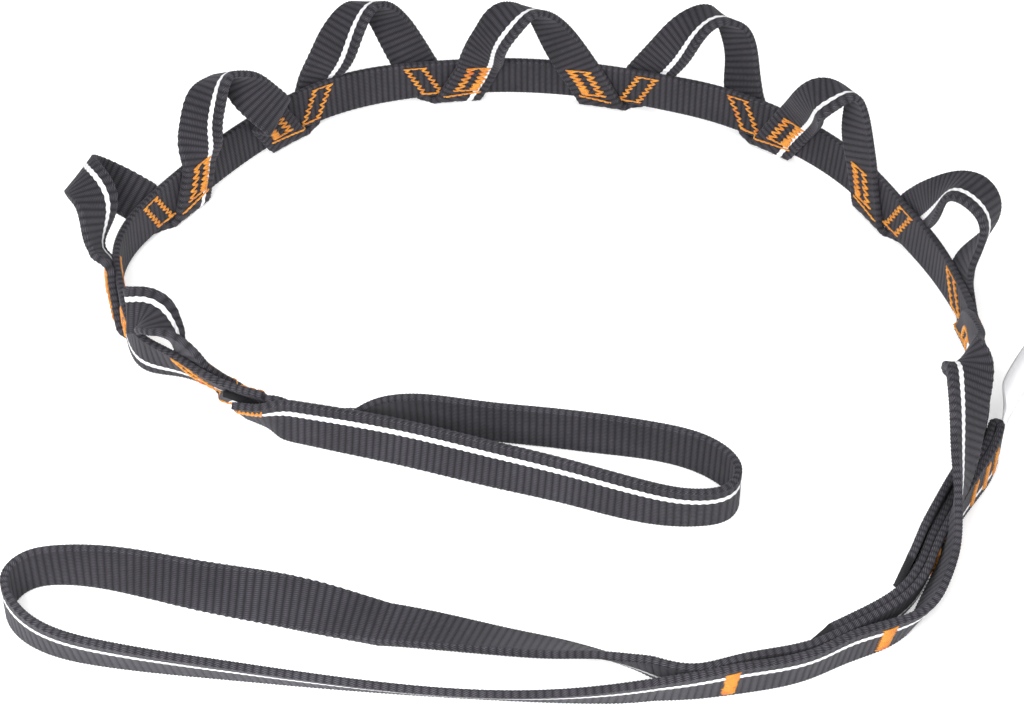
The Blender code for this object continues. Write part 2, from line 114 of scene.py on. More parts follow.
# legs of each joint, moved along the backbone from the even layout: down to it, up from it
LEG_IN = [0.0, 0.0, -1.0, -0.2, 1.2, 3.0, 2.0, 1.2, 0.6]
LEG_OUT = [0.0, -1.0, -1.1, -0.4, -1.4, 1.2, 0.3, 1.0, 1.5]
# and turned where they leave it, in degrees
TURN_IN = [0.0, 0.0, -5.4, -0.9, 2.4, -2.5, 5.0, 0.7, 6.3]
TURN_OUT = [0.0, 3.8, 4.6, 5.0, 5.0, -1.9, -1.4, -5.0, -15.0]

RIB = 2.335              # pitch of the ribs across the tape
PER_RIB = 6              # rows of the mesh in one rib
STRIPE = (-4.6, -2.9)    # tracer stripe on the good face, across the tape
THREAD_R = 0.27


# ---- small geometry helpers ---------------------------------------------------------
def natural_spline(t, points):
    t = np.asarray(t, float)
    p = np.asarray(points, float)
    n = len(t)
    h = np.diff(t)
    a = np.eye(n)
    r = np.zeros_like(p)
    for i in range(1, n - 1):
        a[i, i - 1] = h[i - 1]
        a[i, i] = 2 * (h[i - 1] + h[i])
        a[i, i + 1] = h[i]
        r[i] = 6 * ((p[i + 1] - p[i]) / h[i] - (p[i] - p[i - 1]) / h[i - 1])
    m = np.linalg.solve(a, r)

    def value(x):
        x = np.atleast_1d(np.asarray(x, float))
        k = np.clip(np.searchsorted(t, x) - 1, 0, n - 2)
        u = (t[k + 1] - x)[:, None]
        v = (x - t[k])[:, None]
        g = h[k][:, None]
        return (m[k] * u ** 3 / (6 * g) + m[k + 1] * v ** 3 / (6 * g)
                + (p[k] / g - m[k] * g / 6) * u + (p[k + 1] / g - m[k + 1] * g / 6) * v)
    return value


def unit(v):
    return v / np.linalg.norm(v, axis=-1, keepdims=True)


def smooth(x, a, b):
    t = np.clip((np.asarray(x, float) - a) / (b - a), 0, 1)
    return t * t * (3 - 2 * t)


class Route:
    """A tape's middle line in plan with the lean of its width, by length."""

    def __init__(self, control):
        c = np.array(control, float)
        t = np.r_[0, np.cumsum(np.hypot(*np.diff(c[:, :2], axis=0).T))]
        f = natural_spline(t, c)
        u = np.linspace(0, t[-1], 3001)
        self.q = f(u)
        self.s = np.r_[0, np.cumsum(np.hypot(*np.diff(self.q[:, :2], axis=0).T))]
        self.length = float(self.s[-1])
        self.knots = np.interp(t, u, self.s)

    def at(self, x):
        x = np.atleast_1d(np.asarray(x, float))
        inside = np.clip(x, 0, self.length)
        q = np.stack([np.interp(inside, self.s, self.q[:, k]) for k in range(3)], 1)
        lo = np.clip(x - 0.6, 0, self.length)
        hi = np.clip(x + 0.6, 0, self.length)
        lo = np.minimum(lo, self.length - 1.2)
        hi = np.maximum(hi, 1.2)
        d = np.stack([np.interp(hi, self.s, self.q[:, k]) - np.interp(lo, self.s, self.q[:, k])
                      for k in range(2)], 1)
        d /= np.linalg.norm(d, axis=1)[:, None]
        p = q[:, :2] + d * (x - inside)[:, None]
        zero = np.zeros((len(x), 1))
        return p, np.c_[d, zero], np.c_[-d[:, 1], d[:, 0], zero], np.radians(q[:, 2])

    def axes(self, x):
        p, d, nrm, th = self.at(x)
        z = np.array([0, 0, 1.0])
        u = np.cos(th)[:, None] * nrm + np.sin(th)[:, None] * z
        n = np.sin(th)[:, None] * nrm - np.cos(th)[:, None] * z
        return p, d, u, n, th

    def frame(self, x, across=0.0, depth=0.0, lift=0.0):
        """Point on the tape: across its width and out of its good face."""
        p, d, u, n, th = self.axes(x)
        height = TAPE_W / 2 * np.abs(np.sin(th)) + TAPE_T / 2 * np.abs(np.cos(th)) + lift
        c = np.c_[p, height]
        return c + np.atleast_1d(across)[:, None] * u + np.atleast_1d(depth)[:, None] * n


def layer_beside(route, layers, start, stop, count):
    s = np.linspace(start, stop, count)
    p, d, nrm, th = route.at(s)
    q = p - nrm[:, :2] * (layers * OFFSET / np.sin(np.abs(th)))[:, None]
    return [(float(a[0]), float(a[1]), math.degrees(float(b))) for a, b in zip(q, th)]


tail_middle = Route(TAIL_MIDDLE)
tail_outer = Route(TAIL_OUTER)
spine = Route(BACKBONE + layer_beside(tail_middle, 2, 9.0, 74.0, 10))


def on_backbone(s, v, h):
    """Point beside the backbone: v up its width from the middle, h out of its outer face."""
    p, d, u, n, th = spine.axes(s)
    c = np.c_[p, LOWER_EDGE + TAPE_W / 2 * np.abs(np.sin(th)) + LEAN_LIFT * np.cos(th) ** 2]
    return c + np.atleast_1d(v)[:, None] * u + np.atleast_1d(h)[:, None] * n


def joint_at(k):
    return FIRST_JOINT + PITCH * k - (FIRST_SHORTER if k else 0.0)


def leg_side(k):
    return 1 if k % 2 else -1


FOLD_R = GAP + TAPE_T / 2
FOLD_TURN = TAPE_T / 2 + FOLD_R * math.pi / 2
LEG_LENGTH = FOLD_TURN + TAPE_W


def fold_profile(y):
    """Depth and width coordinate at a length y up from the fold's bottom."""
    y = np.abs(y)
    a = np.clip((y - TAPE_T / 2) / FOLD_R, 0, math.pi / 2)
    h = np.minimum(y, TAPE_T / 2) + FOLD_R * np.sin(a)
    v = -TAPE_W / 2 - FOLD_R * np.cos(a) + np.maximum(y - FOLD_TURN, 0)
    return h, v


def fold_surface(k, along, across):
    """Joint k's tape: along is 0 at the fold's bottom, positive up the outgoing leg."""
    x = along * math.cos(LEG_ANGLE) - across * math.sin(LEG_ANGLE)
    y = along * math.sin(LEG_ANGLE) + across * math.cos(LEG_ANGLE)
    h, v = fold_profile(y)
    t = np.clip(y / FOLD_TURN, -1, 1)
    run = np.where(y < 0, FOLD_RUN - LEG_IN[k], FOLD_RUN + LEG_OUT[k])
    x = x + run * t * (1.5 - 0.5 * t * t)
    side = np.where(y < 0, leg_side(k - 1), leg_side(k))
    return on_backbone(joint_at(k) + x, v, side * h)


def leg_plane(k, sign, rise):
    """Middle of leg k's tape at a height above the backbone's upper edge, and its width."""
    side = leg_side(k if sign > 0 else k - 1)
    angle = LEG_ANGLE + math.radians(TURN_OUT[k] if sign > 0 else TURN_IN[k])
    run = (FOLD_RUN + LEG_OUT[k] if sign > 0 else FOLD_RUN - LEG_IN[k])
    run += (LEG_LENGTH - 8.0) / math.tan(LEG_ANGLE) + (rise + 8.0) / math.tan(angle)
    s = joint_at(k) + sign * run
    p = on_backbone(s, TAPE_W / 2 + rise, side * OFFSET)[0]
    _, d, u, n, _ = spine.axes(s)
    w = -math.sin(angle) * d[0] + sign * math.cos(angle) * u[0]
    return np.r_[p, w]


def unit_width(az, el):
    a, e = math.radians(az), math.radians(el)
    return [math.cos(e) * math.cos(a), math.cos(e) * math.sin(a), math.sin(e)]


def stations(rows):
    return [np.r_[r[0], r[1], r[2], unit_width(r[3], r[4])] for r in rows]


RELAX_LEAD = 16          # samples at each end that stay with the sewn leg
RELAX_TIMES = 90


def relax(c, open_end):
    """Ease the tape along its length: not at all in the sewn legs, most just above them."""
    x = np.arange(len(c))
    edge = x if open_end else np.minimum(x, len(c) - 1 - x)
    ease = np.clip(edge / RELAX_LEAD, 0, 1)
    ease = ease * (0.25 + 0.75 * np.clip(1 - (edge - RELAX_LEAD * 1.9) / (RELAX_LEAD * 1.6), 0, 1))
    c = c.copy()
    for _ in range(RELAX_TIMES):
        d = np.zeros_like(c)
        d[1:-1] = c[:-2] - 2 * c[1:-1] + c[2:]
        c = c + 0.35 * ease[:, None] * d
    return c


class Free:
    """Tape through stations given by a middle point and the direction of the width."""

    def __init__(self, rows, open_end=False):
        c = np.array(rows, float)
        t = np.r_[0, np.cumsum(np.linalg.norm(np.diff(c[:, :3], axis=0), axis=1))]
        self.t = t
        u = np.linspace(0, t[-1], int(round(t[-1] / 0.6)) if open_end else 150)
        q = relax(natural_spline(t, c)(u), open_end)
        arc = np.r_[0, np.cumsum(np.linalg.norm(np.diff(q[:, :3], axis=0), axis=1))]
        self.f = natural_spline(arc, q)
        self.u = u
        self.s = arc

    def length_to(self, t):
        return float(np.interp(t, self.u, self.s))

    def at(self, s):
        q = self.f(s)
        d = unit((self.f(s + 0.4) - self.f(s - 0.4))[:, :3])
        w = q[:, 3:]
        w = unit(w - (w * d).sum(1)[:, None] * d)
        return q[:, :3], d, w


JOIN_LOW, JOIN_HIGH = -7.0, 1.0          # rise between which a leg turns into free tape
LEG_TAPE = (LEG_LENGTH + JOIN_HIGH) / math.sin(LEG_ANGLE)
LEG_MIX = (JOIN_HIGH - JOIN_LOW) / math.sin(LEG_ANGLE)


class LoopTape:
    """Pocket loop k with half of the fold at each end: from fold k to fold k + 1."""

    def __init__(self, k, rows, tail=None):
        self.k = k
        start = [leg_plane(k, 1, JOIN_LOW), leg_plane(k, 1, JOIN_HIGH)]
        if tail is None:
            end = [leg_plane(k + 1, -1, JOIN_HIGH), leg_plane(k + 1, -1, JOIN_LOW)]
        else:
            end = tail
        self.tail = tail is not None
        self.free = Free(start + stations(rows) + end, tail is not None)
        self.a = self.free.length_to(self.free.t[1])
        last = -1 if self.tail else -2
        self.b = self.free.length_to(self.free.t[last])
        self.total = LEG_TAPE + (self.b - self.a) + (0.0 if self.tail else LEG_TAPE)

    def surface(self, along, across):
        """Point for each pair of values, both one-dimensional and of one length."""
        s = self.a + along - LEG_TAPE
        p, d, w = self.free.at(np.clip(s, 0, self.free.s[-1]))
        free = p + across[:, None] * w
        out = free.copy()
        near = along < LEG_TAPE
        if near.any():
            leg = fold_surface(self.k, along[near], across[near])
            m = smooth(along[near], LEG_TAPE - LEG_MIX, LEG_TAPE)[:, None]
            out[near] = leg * (1 - m) + free[near] * m
        if not self.tail:
            back = self.total - along
            near = back < LEG_TAPE
            leg = fold_surface(self.k + 1, -back[near], across[near])
            m = smooth(back[near], LEG_TAPE - LEG_MIX, LEG_TAPE)[:, None]
            out[near] = leg * (1 - m) + free[near] * m
        return out


# ---- materials ----------------------------------------------------------------------
class Graph:
    """Short way to write a node tree."""

    def __init__(self, name):
        self.mat = bpy.data.materials.new(name)
        self.mat.use_nodes = True
        self.nodes = self.mat.node_tree.nodes
        self.links = self.mat.node_tree.links
        self.bsdf = self.nodes["Principled BSDF"]

    def add(self, kind, **settings):
        node = self.nodes.new(kind)
        for key, value in settings.items():
            setattr(node, key, value)
        return node

    def put(self, node, index, value):
        if isinstance(value, (int, float, tuple)):
            node.inputs[index].default_value = value
        else:
            self.links.new(value, node.inputs[index])

    def math(self, op, a, b=0.0, c=0.0, clamp=False):
        node = self.add("ShaderNodeMath", operation=op, use_clamp=clamp)
        for i, v in enumerate((a, b, c)):
            self.put(node, i, v)
        return node.outputs[0]

    def mix(self, factor, a, b):
        node = self.add("ShaderNodeMix", data_type="RGBA")
        self.put(node, 0, factor)
        self.put(node, 6, a)
        self.put(node, 7, b)
        return node.outputs[2]

    def noise(self, scale, detail=2.0, rough=0.5, vector=None):
        node = self.add("ShaderNodeTexNoise")
        node.inputs["Scale"].default_value = scale
        node.inputs["Detail"].default_value = detail
        node.inputs["Roughness"].default_value = rough
        if vector is not None:
            self.links.new(vector, node.inputs["Vector"])
        return node.outputs["Fac"]

    def tape_coordinates(self):
        """Along and across the tape in millimetres, from the mesh's own map."""
        uv = self.add("ShaderNodeUVMap", uv_map="UVMap")
        sep = self.add("ShaderNodeSeparateXYZ")
        self.links.new(uv.outputs[0], sep.inputs[0])
        along = self.math("MULTIPLY", sep.outputs[0], 1000.0)
        across = self.math("MULTIPLY", sep.outputs[1], 100.0)
        return along, across, uv.outputs[0]


def webbing_material(name, dark, light, groove_shade, rough=0.82, weave=0.6, sheen=0.10, selvedge=False):
    g = Graph(name)
    along, across, uv = g.tape_coordinates()
    turn = g.math("MULTIPLY", along, 2 * math.pi / RIB)
    wave = g.math("COSINE", turn)
    # 0 in the groove between two ribs, 1 on the rib
    crest = g.math("MULTIPLY_ADD", wave, -0.5, 0.5)
    crest = g.math("POWER", crest, 0.55)
    # warp yarns side by side across the width, staggered from rib to rib
    yarn = g.math("MULTIPLY", across, 2 * math.pi / 0.62)
    half = g.math("MULTIPLY", along, math.pi / RIB)
    parity = g.math("SINE", half)
    parity = g.math("SIGN", parity)
    shift = g.math("MULTIPLY_ADD", parity, math.pi / 2, yarn)
    warp = g.math("SINE", shift)
    warp = g.math("MULTIPLY_ADD", warp, 0.5, 0.5)
    if selvedge:
        slant = g.math("MULTIPLY_ADD", along, 2 * math.pi / (RIB / 2), yarn)
        knot = g.math("SINE", slant)
        warp = g.math("MULTIPLY_ADD", knot, 0.5, 0.5)
    geo = g.add("ShaderNodeNewGeometry")
    obj = g.add("ShaderNodeTexCoord")
    patch = g.noise(55.0, 3.0, 0.6, obj.outputs["Object"])
    fine = g.noise(900.0, 2.0, 0.6, obj.outputs["Object"])
    fuzz = g.noise(3200.0, 1.0, 0.5, obj.outputs["Object"])
    # colour: yarn between dark and light, painted shade in the grooves, slow patches
    level = g.math("MULTIPLY_ADD", warp, weave, 0.5 - weave / 2)
    level = g.math("ADD", level, g.math("MULTIPLY_ADD", patch, 0.7, -0.35))
    level = g.math("ADD", level, g.math("MULTIPLY_ADD", fine, 0.5, -0.25), clamp=True)
    body = g.mix(level, dark, light)
    # painted shade: the grooves between the ribs are darkened towards the dark groove colour
    hollow_shade = g.math("SUBTRACT", 1.0, crest)
    hollow_shade = g.math("MULTIPLY", hollow_shade, 0.8)
    colour = g.mix(hollow_shade, body, groove_shade)
    # painted highlight: the sharp edges of the tape are lightened, in patches
    edge_highlight = g.math("MULTIPLY_ADD", geo.outputs["Pointiness"], 9.0, -4.75, clamp=True)
    edge_highlight = g.math("MULTIPLY", edge_highlight, g.math("MULTIPLY_ADD", patch, 0.5, 0.05, clamp=True))
    colour = g.mix(edge_highlight, colour, tuple(min(1.0, 1.5 * c + 0.012) if i < 3 else 1.0 for i, c in enumerate(light)))
    g.links.new(colour, g.bsdf.inputs["Base Color"])
    g.links.new(g.math("MULTIPLY_ADD", fine, 0.18, rough - 0.09, clamp=True), g.bsdf.inputs["Roughness"])
    g.bsdf.inputs["Specular IOR Level"].default_value = 0.25
    g.bsdf.inputs["Sheen Weight"].default_value = sheen
    g.bsdf.inputs["Sheen Roughness"].default_value = 0.45
    g.bsdf.inputs["Sheen Tint"].default_value = (0.75, 0.74, 0.82, 1.0)
    height = g.math("ADD", g.math("MULTIPLY", warp, 0.5), g.math("MULTIPLY", fine, 0.5))
    height = g.math("ADD", height, g.math("MULTIPLY", fuzz, 0.4))
    height = g.math("ADD", height, g.math("MULTIPLY", crest, 0.5))
    bump = g.add("ShaderNodeBump")
    bump.inputs["Strength"].default_value = 0.7
    bump.inputs["Distance"].default_value = 0.00018
    g.links.new(height, bump.inputs["Height"])
    g.links.new(bump.outputs[0], g.bsdf.inputs["Normal"])
    return g.mat


def thread_material(name, main, light, hollow_shade):
    g = Graph(name)
    uv = g.add("ShaderNodeUVMap", uv_map="UVMap")
    sep = g.add("ShaderNodeSeparateXYZ")
    g.links.new(uv.outputs[0], sep.inputs[0])
    along = g.math("MULTIPLY", sep.outputs[0], 1000.0)
    around = g.math("MULTIPLY", sep.outputs[1], 2 * math.pi)
    twist = g.math("SINE", g.math("MULTIPLY_ADD", along, 2 * math.pi / 0.55, g.math("MULTIPLY", around, 2.0)))
    twist = g.math("MULTIPLY_ADD", twist, 0.5, 0.5)
    obj = g.add("ShaderNodeTexCoord")
    patch = g.noise(260.0, 2.0, 0.6, obj.outputs["Object"])
    fine = g.noise(2600.0, 1.0, 0.5, obj.outputs["Object"])
    tone = g.math("MULTIPLY_ADD", patch, 2.4, -0.75, clamp=True)
    colour = g.mix(tone, main, light)
    # painted shade in the hollows of the thread's twist, towards the darkest colour
    colour = g.mix(g.math("MULTIPLY_ADD", g.math("SUBTRACT", 1.0, twist), 0.5, 0.0), colour, hollow_shade)
    red = g.math("MULTIPLY_ADD", g.noise(120.0, 1.0, 0.4, obj.outputs["Object"]), 6.0, -3.9, clamp=True)
    colour = g.mix(red, colour, (0.50, 0.075, 0.004, 1.0))
    g.links.new(colour, g.bsdf.inputs["Base Color"])
    g.links.new(g.math("MULTIPLY_ADD", fine, 0.2, 0.42), g.bsdf.inputs["Roughness"])
    g.bsdf.inputs["Specular IOR Level"].default_value = 0.45
    g.bsdf.inputs["Sheen Weight"].default_value = 0.2
    bump = g.add("ShaderNodeBump")
    bump.inputs["Strength"].default_value = 0.6
    bump.inputs["Distance"].default_value = 0.00008
    g.links.new(g.math("ADD", twist, g.math("MULTIPLY", fine, 0.5)), bump.inputs["Height"])
    g.links.new(bump.outputs[0], g.bsdf.inputs["Normal"])
    return g.mat


def stripe_material(name):
    g = Graph(name)
    along, across, uv = g.tape_coordinates()
    slant = g.math("MULTIPLY_ADD", along, 2 * math.pi / RIB, g.math("MULTIPLY", across, 2 * math.pi / 1.7))
    ply = g.math("MULTIPLY_ADD", g.math("SINE", slant), 0.5, 0.5)
    obj = g.add("ShaderNodeTexCoord")
    fine = g.noise(1400.0, 2.0, 0.6, obj.outputs["Object"])
    dirt = g.noise(90.0, 3.0, 0.6, obj.outputs["Object"])
    colour = g.mix(g.math("MULTIPLY_ADD", ply, 0.75, 0.25), (0.50, 0.50, 0.53, 1), (0.80, 0.80, 0.81, 1))
    colour = g.mix(g.math("MULTIPLY_ADD", dirt, 0.9, -0.4, clamp=True), colour, (0.52, 0.52, 0.56, 1))
    g.links.new(colour, g.bsdf.inputs["Base Color"])
    g.links.new(g.math("MULTIPLY_ADD", fine, 0.2, 0.6), g.bsdf.inputs["Roughness"])
    g.bsdf.inputs["Sheen Weight"].default_value = 0.3
    bump = g.add("ShaderNodeBump")
    bump.inputs["Strength"].default_value = 0.6
    bump.inputs["Distance"].default_value = 0.00015
    g.links.new(g.math("ADD", ply, g.math("MULTIPLY", fine, 0.6)), bump.inputs["Height"])
    g.links.new(bump.outputs[0], g.bsdf.inputs["Normal"])
    return g.mat


def label_material(name):
    g = Graph(name)
    obj = g.add("ShaderNodeTexCoord")
    along, across, uv = g.tape_coordinates()
    warp = g.math("SINE", g.math("MULTIPLY", along, 2 * math.pi / 0.35))
    weft = g.math("SINE", g.math("MULTIPLY", across, 2 * math.pi / 0.35))
    satin = g.math("MULTIPLY", warp, weft)
    satin = g.math("MULTIPLY_ADD", satin, 0.5, 0.5)
    patch = g.noise(70.0, 3.0, 0.5, obj.outputs["Object"])
    fine = g.noise(1500.0, 2.0, 0.5, obj.outputs["Object"])
    colour = g.mix(g.math("MULTIPLY_ADD", patch, 0.8, -0.1, clamp=True), (0.88, 0.88, 0.89, 1), (0.80, 0.80, 0.82, 1))
    # painted shade: the label's upper part is greyed, in patches
    painted_top_shade = g.math("MULTIPLY_ADD", across, 0.22, g.math("MULTIPLY_ADD", patch, 0.8, -0.5), clamp=True)
    colour = g.mix(painted_top_shade, colour, (0.52, 0.515, 0.53, 1))
    colour = g.mix(g.math("MULTIPLY", satin, 0.25), colour, (0.75, 0.75, 0.78, 1))
    g.links.new(colour, g.bsdf.inputs["Base Color"])
    g.links.new(g.math("MULTIPLY_ADD", fine, 0.15, 0.45), g.bsdf.inputs["Roughness"])
    g.bsdf.inputs["Sheen Weight"].default_value = 0.25
    g.bsdf.inputs["Sheen Roughness"].default_value = 0.3
    bump = g.add("ShaderNodeBump")
    bump.inputs["Strength"].default_value = 0.5
    bump.inputs["Distance"].default_value = 0.00006
    g.links.new(g.math("ADD", satin, g.math("MULTIPLY", fine, 0.6)), bump.inputs["Height"])
    g.links.new(bump.outputs[0], g.bsdf.inputs["Normal"])
    return g.mat


WEB = webbing_material("webbing_ribbed", (0.009, 0.0085, 0.0106, 1), (0.056, 0.0525, 0.064, 1), (0.003, 0.0028, 0.0036, 1))
EDGE = webbing_material("webbing_selvedge", (0.0065, 0.006, 0.0078, 1), (0.078, 0.074, 0.088, 1), (0.003, 0.0028, 0.0036, 1),
                        weave=0.95, selvedge=True)
WHITE = stripe_material("tracer_stripe")
ORANGE = thread_material("stitching_orange", (0.66, 0.225, 0.009, 1), (0.82, 0.35, 0.022, 1), (0.22, 0.045, 0.003, 1))
LABEL = label_material("label_satin")
SLOTS = {"webbing": (WEB, EDGE, WHITE), "thread": (ORANGE,), "label": (LABEL,)}


# ---- meshes -------------------------------------------------------------------------
def make_object(name, verts, faces, uvs, materials, indices, smooth_faces=True):
    mesh = bpy.data.meshes.new(name)
    mesh.from_pydata([tuple(v) for v in verts], [], faces)
    layer = mesh.uv_layers.new(name="UVMap")
    layer.data.foreach_set("uv", np.asarray(uvs, np.float32).ravel())
    for m in materials:
        mesh.materials.append(m)
    mesh.polygons.foreach_set("material_index", np.asarray(indices, np.int32))
    mesh.polygons.foreach_set("use_smooth", [smooth_faces] * len(faces))
    mesh.validate()
    mesh.update()
    obj = bpy.data.objects.new(name, mesh)
    bpy.context.scene.collection.objects.link(obj)
    return obj


FACE_COLUMNS = [-7.62, -7.05, -6.3, -5.4, STRIPE[0], -3.75, STRIPE[1], -1.6, -0.2, 1.2, 2.6, 4.0, 5.3, 6.3, 7.05, 7.62]


def tape(name, surface, length, start=0.0, good=1, taper=None):
    """A closed strip of tape. surface(along, across) gives the middle surface; good is the side of
    the face with the stripe: 1 if it looks along width x travel, -1 if it looks the other way."""
    ribs = max(3, round(length / RIB))
    rows = ribs * PER_RIB + 1
    s = np.linspace(0, length, rows)
    # cross-section as a ring: good face, edge, other face, edge
    ring = [(b, 1.0, 0) for b in FACE_COLUMNS]
    ring += [(7.9, 0.62, 1), (8.0, 0.0, 1), (7.9, -0.62, 1)]
    ring += [(b, -1.0, 0) for b in reversed(FACE_COLUMNS)]
    ring += [(-7.9, -0.62, 1), (-8.0, 0.0, 1), (-7.9, 0.62, 1)]
    cols = len(ring)
    b = np.array([r[0] for r in ring])
    depth = np.array([r[1] for r in ring])
    ss = np.repeat(s, cols)
    bb = np.tile(b, rows)
    e = 0.25
    mid = surface(start + ss, bb)
    ds = surface(start + np.minimum(ss + e, length), bb) - surface(start + np.maximum(ss - e, 0), bb)
    db = surface(start + ss, bb + e) - surface(start + ss, bb - e)
    n = unit(np.cross(db, ds)) * good
    phase = ss / length * ribs            # whole numbers in the grooves
    frac = phase - np.floor(phase)
    crest = np.sqrt(np.clip(np.sin(math.pi * frac), 0, 1))
    edge = np.clip((np.abs(bb) - 6.2) / 1.2, 0, 1)
    face = np.tile(np.abs(depth) == 1.0, rows)
    # ribs on the faces, a finer braid along both selvedges
    rib = 0.26 * (crest - 0.72)
    braid = 0.13 * np.sin(2 * math.pi * (2 * phase + np.abs(bb) / 2.2))
    relief = np.where(face, rib * (1 - edge) + braid * edge, 0.0)
    stripe = face & (np.tile(depth, rows) > 0) & (bb > STRIPE[0] - 0.01) & (bb < STRIPE[1] + 0.01)
    relief = np.where(stripe, 0.04 + 0.08 * (crest - 0.6), relief)
    half = np.tile(depth, rows) * (TAPE_T / 2)
    # the selvedge yarns stand out in turn
    out = np.where(face, 0.0, 0.16 * np.sin(2 * math.pi * (phase + 0.5 * (np.tile(depth, rows) > 0))) * np.sign(bb))
    wobble = np.where(stripe & (np.abs(bb + 3.75) > 0.5), 0.13 * np.sin(2 * math.pi * phase) * 1.0, 0.0)
    w = unit(db)
    p = mid + n * (half + np.sign(half) * relief)[:, None] + w * (out + wobble)[:, None]
    grid = (p + SHIFT) * MM
    verts = grid
    index = np.arange(rows * cols).reshape(rows, cols)
    # distance round the section, for the map
    sec = np.c_[b, depth * TAPE_T / 2]
    step = np.linalg.norm(np.diff(np.r_[sec, sec[:1]], axis=0), axis=1)
    vcoord = np.r_[0, np.cumsum(step)] - 8.0
    faces, uvs, mats = [], [], []
    kinds = []
    for j in range(cols):
        k = (j + 1) % cols
        if depth[j] == 1.0 and depth[k] == 1.0 and b[j] >= STRIPE[0] - 0.01 and b[k] <= STRIPE[1] + 0.01:
            kinds.append(2)
        elif abs(b[j]) > 6.9 and abs(b[k]) > 6.9:
            kinds.append(1)
        else:
            kinds.append(0)
    us = (s * (ribs * RIB / length)) * MM
    for j in range(cols):
        k = (j + 1) % cols
        va, vb = vcoord[j] * 0.01, vcoord[j + 1] * 0.01
        for i in range(rows - 1):
            quad = (index[i, j], index[i, k], index[i + 1, k], index[i + 1, j])
            uv = [(us[i], va), (us[i], vb), (us[i + 1], vb), (us[i + 1], va)]
            if good < 0:
                quad, uv = quad[::-1], uv[::-1]
            faces.append(tuple(int(q) for q in quad))
            uvs.extend(uv)
            mats.append(kinds[j])
    # closed ends, strip by strip between the two faces
    half_n = len(FACE_COLUMNS)
    front = list(range(half_n))
    back = [2 * half_n + 3 - 1 - j for j in range(half_n)]

    def cap(i, flip):
        cells = []
        for j in range(half_n - 1):
            cells.append((index[i, front[j]], index[i, front[j + 1]], index[i, back[j + 1]], index[i, back[j]]))
        tip = [index[i, front[-1]], index[i, half_n], index[i, half_n + 1], index[i, half_n + 2], index[i, back[-1]]]
        cells.append(tuple(tip))
        tip = [index[i, back[0]], index[i, cols - 3], index[i, cols - 2], index[i, cols - 1], index[i, front[0]]]
        cells.append(tuple(tip))
        for c in cells:
            c = tuple(int(q) for q in (c[::-1] if flip else c))
            faces.append(c)
            uvs.extend([(us[i], 0.0)] * len(c))
            mats.append(1)
    cap(0, good > 0)
    cap(rows - 1, good < 0)
    # faces look outwards
    obj = make_object(name, verts, [f[::-1] for f in faces], reversed_loops(faces, uvs), (WEB, EDGE, WHITE), mats)
    return obj


def reversed_loops(faces, uvs):
    out, at = [], 0
    for f in faces:
        n = len(f)
        out.extend(uvs[at:at + n][::-1])
        at += n
    return out


def tube(points, radius, sides=6, squash=1.0, normals=None):
    """Rings round a path of points: vertices, faces and their map."""
    p = np.asarray(points, float)
    t = np.gradient(p, axis=0)
    t = unit(t)
    if normals is None:
        ref = np.tile([0, 0, 1.0], (len(p), 1))
    else:
        ref = np.asarray(normals, float)
    a = unit(np.cross(t, ref))
    c = np.cross(a, t)
    ang = np.linspace(0, 2 * math.pi, sides, endpoint=False)
    r = np.full(len(p), radius) if np.isscalar(radius) else np.asarray(radius, float)
    rings = p[:, None, :] + r[:, None, None] * (np.cos(ang)[None, :, None] * a[:, None, :]
                                                + squash * np.sin(ang)[None, :, None] * c[:, None, :])
    length = np.r_[0, np.cumsum(np.linalg.norm(np.diff(p, axis=0), axis=1))]
    verts = rings.reshape(-1, 3)
    n = len(p)
    faces, uvs = [], []
    for i in range(n - 1):
        for j in range(sides):
            k = (j + 1) % sides
            faces.append((i * sides + j, i * sides + k, (i + 1) * sides + k, (i + 1) * sides + j))
            uvs.extend([(length[i] * MM, j / sides), (length[i] * MM, (j + 1) / sides),
                        (length[i + 1] * MM, (j + 1) / sides), (length[i + 1] * MM, j / sides)])
    faces.append(tuple(range(sides))[::-1])
    uvs.extend([(0.0, 0.0)] * sides)
    faces.append(tuple((n - 1) * sides + j for j in range(sides)))
    uvs.extend([(length[-1] * MM, 0.0)] * sides)
    return verts, faces, uvs


class Thread:
    """Collects runs of thread and makes one object of them."""

    def __init__(self, name):
        self.name = name
        self.verts, self.faces, self.uvs = [], [], []
        self.count = 0

    def run(self, points, radius=THREAD_R, normals=None, sides=6, squash=0.85):
        v, f, u = tube(points, radius, sides, squash, normals)
        self.verts.append(v)
        self.faces.extend(tuple(i + self.count for i in face) for face in f)
        self.uvs.extend(u)
        self.count += len(v)

    def make(self, body="chain"):
        verts = (np.concatenate(self.verts) + SHIFT) * MM
        faces = [f[::-1] for f in self.faces]
        obj = make_object(self.name, verts, faces, reversed_loops(self.faces, self.uvs), (ORANGE,), [0] * len(faces))
        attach(obj, body)
        return obj


def stitch_points(rule, path, lift, sink):
    """Thread over a face: path is a list of (a, b, height 0..1); rule(a, b, h) gives the point."""
    q = np.array(path, float)
    h = sink + (lift - sink) * q[:, 2]
    return rule(q[:, 0], q[:, 1], h)


def zigzag(a0, width, b0, b1, pitch, rng, lean=0.0):
    """Path of a bar of zigzag stitches, from b0 to b1 about a0."""
    n = max(4, int(round(abs(b1 - b0) / (pitch / 2))))
    path = []
    for i in range(n + 1):
        b = b0 + (b1 - b0) * i / n
        side = 1 if i % 2 else -1
        w = width / 2 * (1 + 0.12 * rng.uniform(-1, 1))
        a = a0 + side * w + lean * (b - (b0 + b1) / 2)
        jig = 0.10 * rng.uniform(-1, 1)
        if path:
            pa, pb, _ = path[-1]
            for t, h in ((0.12, 0.75), (0.35, 1.0), (0.65, 1.0), (0.88, 0.75)):
                path.append((pa + (a - pa) * t, pb + (b + jig - pb) * t, h))
        path.append((a, b + jig, 0.0))
    return path


